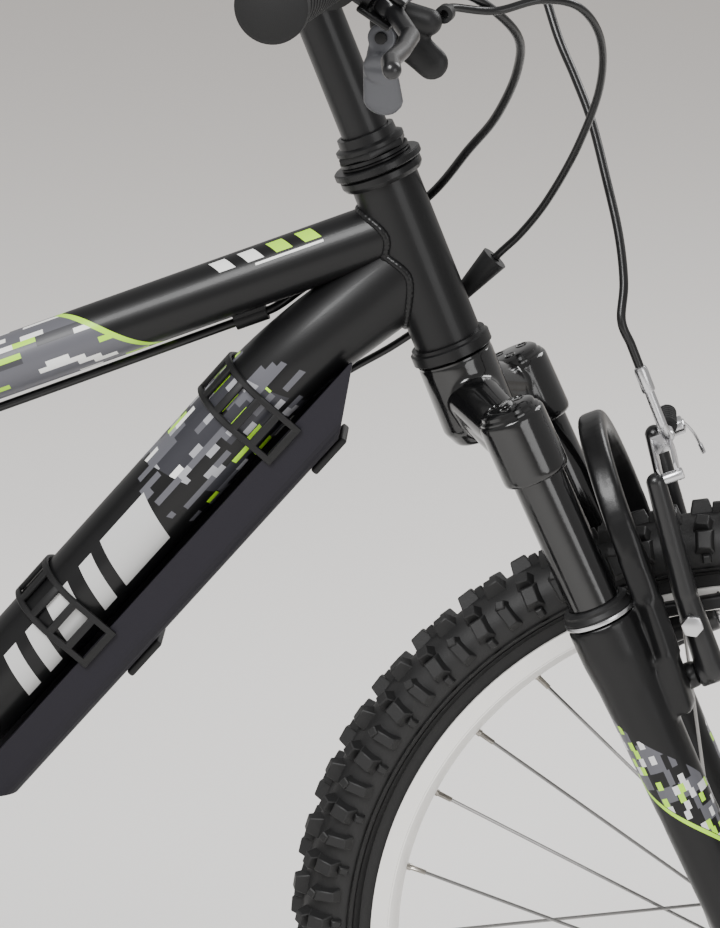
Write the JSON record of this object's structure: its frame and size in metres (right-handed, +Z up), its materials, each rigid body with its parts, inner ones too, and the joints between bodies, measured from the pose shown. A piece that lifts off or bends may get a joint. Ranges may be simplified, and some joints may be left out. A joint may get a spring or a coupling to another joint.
{
  "type": "mountain bike",
  "caption": "Junior hardtail mountain bike with suspension fork, rim brakes, single chainring with derailleur, knobbly tyres, down tube guard and kickstand.",
  "frame": {"origin": "on the ground, half way between the axles, in the bike's middle plane", "axes": "+X forwards, +Y to the rider's left, +Z up"},
  "size_m": [1.418, 0.5822, 0.8396],
  "materials": {
    "frame_black": "satin black paint",
    "fork_gloss_black": "gloss black",
    "satin_black": "satin black",
    "guard_plastic": "matt, fine grain",
    "black_plastic": "moulded",
    "rubber": "soft, ribbed",
    "tyre": "knobbly, matt",
    "rim_silver": "machined, matt",
    "steel": "bright",
    "hub_black": "satin",
    "saddle_vinyl": "grained vinyl",
    "chain_steel": "oiled",
    "cable_black": "smooth",
    "brake_black": "satin black",
    "lever_grey": "metallic grey",
    "derailleur_grey": "satin grey"
  },
  "bodies": {
    "frame": {"head_tube": "frame_black", "top_tube": "frame_black", "down_tube": "frame_black", "seat_tube": "frame_black", "bottom_bracket_shell": "frame_black", "chain_stays": "frame_black", "seat_stays": "frame_black", "dropouts": "frame_black", "headset_cups": "satin_black", "cable_stops": "black_plastic", "down_tube_guard": "guard_plastic", "guard_straps": "black_plastic", "seat_clamp": "satin_black", "seatpost": "satin_black", "saddle_cover": "saddle_vinyl", "saddle_rails": "steel", "rear_axle": "steel", "chain": "chain_steel", "rear_brake_cable": "cable_black", "shift_cable": "cable_black", "kickstand_bracket": "satin_black"},
    "kickstand": {"kickstand_leg": "satin_black"},
    "steering": {"fork_crown": "fork_gloss_black", "stanchions": "fork_gloss_black", "crown_caps": "satin_black", "headset_nuts": "satin_black", "quill_stem": "satin_black", "handlebar": "satin_black", "grips": "rubber", "lever_brackets": "black_plastic", "shifter_body": "black_plastic", "front_brake_cable": "cable_black"},
    "fork_lower": {"fork_lower_legs": "satin_black", "fork_arch": "satin_black", "leg_seals": "black_plastic", "front_axle": "steel"},
    "front_wheel": {"front_tyre": "tyre", "front_rim": "rim_silver", "front_spokes": "steel", "front_hub": "hub_black"},
    "rear_wheel": {"rear_tyre": "tyre", "rear_rim": "rim_silver", "rear_spokes": "steel", "rear_hub": "hub_black"},
    "freewheel": {"freewheel_cogs": "chain_steel"},
    "crankset": {"crank_arms": "satin_black", "chainring": "satin_black"},
    "pedal_right": {"right_pedal": "black_plastic"},
    "pedal_left": {"left_pedal": "black_plastic"},
    "front_arm_right": {"front_brake_arm_right": "brake_black"},
    "front_arm_left": {"front_brake_arm_left": "brake_black"},
    "rear_arm_right": {"rear_brake_arm_right": "brake_black"},
    "rear_arm_left": {"rear_brake_arm_left": "brake_black"},
    "lever_right": {"brake_lever_right": "brake_black"},
    "lever_left": {"brake_lever_left": "brake_black"},
    "thumb_lever": {"shift_lever": "lever_grey"},
    "derailleur": {"derailleur_body": "derailleur_grey"},
    "cage": {"derailleur_cage": "derailleur_grey"},
    "guide_pulley": {"guide_pulley": "black_plastic"},
    "tension_pulley": {"tension_pulley": "black_plastic"}
  },
  "joints": [
    {"name": "steering_turn", "type": "hinge", "parent": "frame", "child": "steering", "pos_m": [0.26927, 0, 0.63547], "axis": [-0.3665, 0, 0.9304], "range_deg": [-60, 60], "deforming": ["rear_brake_cable", "shift_cable"]},
    {"name": "fork_travel", "type": "slide", "parent": "steering", "child": "fork_lower", "axis": [-0.4067, 0, 0.9135], "range_m": [0, 0.04], "stiffness_N_per_m": 6000, "springref_m": -0.012, "deforming": ["front_brake_cable"]},
    {"name": "front_wheel_spin", "type": "hinge", "parent": "fork_lower", "child": "front_wheel", "pos_m": [0.455, 0, 0.254], "axis": [0, 1, 0], "continuous": true},
    {"name": "rear_wheel_spin", "type": "hinge", "parent": "frame", "child": "rear_wheel", "pos_m": [-0.455, 0, 0.254], "axis": [0, 1, 0], "continuous": true},
    {"name": "crank_turn", "type": "hinge", "parent": "frame", "child": "crankset", "pos_m": [-0.085, 0, 0.25], "axis": [0, 1, 0], "continuous": true},
    {"name": "freewheel_turn", "type": "hinge", "parent": "frame", "child": "freewheel", "pos_m": [-0.455, 0, 0.254], "axis": [0, 1, 0], "continuous": true},
    {"name": "pedal_right_turn", "type": "hinge", "parent": "crankset", "child": "pedal_right", "pos_m": [0.055, -0.123, 0.25], "axis": [0, 1, 0], "continuous": true},
    {"name": "pedal_left_turn", "type": "hinge", "parent": "crankset", "child": "pedal_left", "pos_m": [-0.225, 0.123, 0.25], "axis": [0, 1, 0], "continuous": true},
    {"name": "brake_lever_right_pull", "type": "hinge", "parent": "steering", "child": "lever_right", "pos_m": [0.26292, -0.1753, 0.80156], "axis": [-0.5247, 0.076, -0.8479], "range_deg": [0, 18], "stiffness_Nm_per_rad": 0.6, "springref_deg": -2.86},
    {"name": "brake_lever_left_pull", "type": "hinge", "parent": "steering", "child": "lever_left", "pos_m": [0.26292, 0.1753, 0.80156], "axis": [0.5247, 0.076, 0.8479], "range_deg": [0, 18], "stiffness_Nm_per_rad": 0.6, "springref_deg": -2.86},
    {"name": "front_arm_right_close", "type": "hinge", "parent": "fork_lower", "child": "front_arm_right", "pos_m": [0.39233, -0.043, 0.4131], "axis": [-0.9304, 0, -0.3665], "range_deg": [0, 2.2]},
    {"name": "front_arm_left_close", "type": "hinge", "parent": "fork_lower", "child": "front_arm_left", "pos_m": [0.39233, 0.043, 0.4131], "axis": [0.9304, 0, 0.3665], "range_deg": [0, 2.2]},
    {"name": "rear_arm_right_close", "type": "hinge", "parent": "frame", "child": "rear_arm_right", "pos_m": [-0.3246, -0.043, 0.36462], "axis": [-0.6469, 0, 0.7626], "range_deg": [0, 2.2]},
    {"name": "rear_arm_left_close", "type": "hinge", "parent": "frame", "child": "rear_arm_left", "pos_m": [-0.3246, 0.043, 0.36462], "axis": [0.6469, 0, -0.7626], "range_deg": [0, 2.2]},
    {"name": "thumb_lever_push", "type": "hinge", "parent": "steering", "child": "thumb_lever", "pos_m": [0.25799, -0.14629, 0.78127], "axis": [-0.1761, -0.9842, 0.0207], "range_deg": [0, 30], "stiffness_Nm_per_rad": 0.2, "springref_deg": -2.86},
    {"name": "derailleur_swing", "type": "hinge", "parent": "frame", "child": "derailleur", "pos_m": [-0.464, -0.0675, 0.226], "axis": [0, 1, 0], "range_deg": [-8, 8], "stiffness_Nm_per_rad": 20},
    {"name": "cage_swing", "type": "hinge", "parent": "derailleur", "child": "cage", "pos_m": [-0.461, -0.0675, 0.172], "axis": [0, 1, 0], "range_deg": [-25, 25], "stiffness_Nm_per_rad": 5, "deforming": ["chain"]},
    {"name": "guide_pulley_turn", "type": "hinge", "parent": "cage", "child": "guide_pulley", "pos_m": [-0.447, -0.045, 0.166], "axis": [0, 1, 0], "continuous": true},
    {"name": "tension_pulley_turn", "type": "hinge", "parent": "cage", "child": "tension_pulley", "pos_m": [-0.427, -0.045, 0.115], "axis": [0, 1, 0], "continuous": true},
    {"name": "kickstand_fold", "type": "hinge", "parent": "frame", "child": "kickstand", "pos_m": [-0.372, 0.076, 0.232], "axis": [0.123, 0.9192, 0.3741], "range_deg": [0, 98]}
  ],
  "couplings": [
    {"joint": "freewheel_turn", "follows": "crank_turn", "ratio": 1.7778},
    {"joint": "guide_pulley_turn", "follows": "crank_turn", "ratio": -2.9091},
    {"joint": "tension_pulley_turn", "follows": "crank_turn", "ratio": 2.9091},
    {"joint": "front_arm_right_close", "follows": "brake_lever_left_pull", "ratio": 0.12},
    {"joint": "front_arm_left_close", "follows": "brake_lever_left_pull", "ratio": 0.12},
    {"joint": "rear_arm_right_close", "follows": "brake_lever_right_pull", "ratio": 0.12},
    {"joint": "rear_arm_left_close", "follows": "brake_lever_right_pull", "ratio": 0.12}
  ]
}
